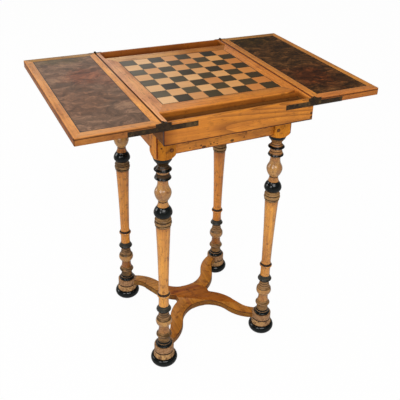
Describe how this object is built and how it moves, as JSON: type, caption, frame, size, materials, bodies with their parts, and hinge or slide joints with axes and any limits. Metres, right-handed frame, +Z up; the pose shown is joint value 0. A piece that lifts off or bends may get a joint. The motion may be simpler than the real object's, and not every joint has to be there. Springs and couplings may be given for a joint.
{
  "type": "chess table",
  "caption": "Fold-over games table with an inlaid chessboard between open troughs, hinged burr-panelled side leaves, turned legs on bun feet and a curved cross stretcher.",
  "frame": {"origin": "on the floor, under the middle of the table with its leaves open", "axes": "+X along the front edge to the right, +Y from the front to the back, +Z up; the leaves are stored open"},
  "size_m": [0.706, 0.466, 0.7232],
  "materials": {
    "turned_fruitwood": "waxed, with ebonised rings and balls",
    "bun_foot": "ebonised gloss below, waxed above",
    "stretcher_wood": "waxed",
    "hinge_metal": "darkened brass, old patina",
    "hinge_pin_steel": "worn",
    "screw_steel": "plain",
    "burr_veneer": "polished burr",
    "black_stringing": "polished",
    "dark_square_veneer": "polished, stained",
    "light_square_veneer": "polished",
    "carcase_wood": "plain, unpolished",
    "peg_oak": "riven",
    "margin_fruitwood": "polished",
    "leaf_fruitwood": "polished",
    "frame_fruitwood": "waxed"
  },
  "bodies": {
    "table": {"apron_back": "frame_fruitwood", "apron_front": "frame_fruitwood", "apron_left": "frame_fruitwood", "apron_pegs": "peg_oak", "apron_right": "frame_fruitwood", "board_border_line": "black_stringing", "board_core": "carcase_wood", "board_margin_back": "margin_fruitwood", "board_margin_front": "margin_fruitwood", "board_margin_left": "margin_fruitwood", "board_margin_right": "margin_fruitwood", "box_back_rail": "frame_fruitwood", "box_bottom_board": "carcase_wood", "box_front_rail": "frame_fruitwood", "box_left_rail": "frame_fruitwood", "box_right_rail": "frame_fruitwood", "dark_squares": "dark_square_veneer", "foot_back_left": "bun_foot", "foot_back_right": "bun_foot", "foot_front_left": "bun_foot", "foot_front_right": "bun_foot", "glue_blocks": "carcase_wood", "hinge_back_left_box_strap": "hinge_metal", "hinge_back_right_box_strap": "hinge_metal", "hinge_front_left_box_strap": "hinge_metal", "hinge_front_right_box_strap": "hinge_metal", "hinge_pins": "hinge_pin_steel", "leg_back_left": "turned_fruitwood", "leg_back_right": "turned_fruitwood", "leg_front_left": "turned_fruitwood", "leg_front_right": "turned_fruitwood", "light_squares": "light_square_veneer", "stretcher_cross_arm": "stretcher_wood", "stretcher_long_arm": "stretcher_wood", "top_screws": "screw_steel", "well_partition_back": "carcase_wood", "well_partition_front": "carcase_wood"},
    "left_leaf": {"hinge_back_left_leaf_strap": "hinge_metal", "hinge_front_left_leaf_strap": "hinge_metal", "left_leaf_back_member": "leaf_fruitwood", "left_leaf_burr_panel": "burr_veneer", "left_leaf_core": "carcase_wood", "left_leaf_front_member": "leaf_fruitwood", "left_leaf_inner_member": "leaf_fruitwood", "left_leaf_line": "black_stringing", "left_leaf_outer_member": "leaf_fruitwood"},
    "right_leaf": {"hinge_back_right_leaf_strap": "hinge_metal", "hinge_front_right_leaf_strap": "hinge_metal", "right_leaf_back_member": "leaf_fruitwood", "right_leaf_burr_panel": "burr_veneer", "right_leaf_core": "carcase_wood", "right_leaf_front_member": "leaf_fruitwood", "right_leaf_inner_member": "leaf_fruitwood", "right_leaf_line": "black_stringing", "right_leaf_outer_member": "leaf_fruitwood"}
  },
  "joints": [
    {"name": "left_leaf_fold", "type": "hinge", "parent": "table", "child": "left_leaf", "pos_m": [-0.177, 0, 0.7202], "axis": [0, 1, 0], "range_deg": [0, 180]},
    {"name": "right_leaf_fold", "type": "hinge", "parent": "table", "child": "right_leaf", "pos_m": [0.177, 0, 0.7202], "axis": [0, -1, 0], "range_deg": [0, 180]}
  ]
}
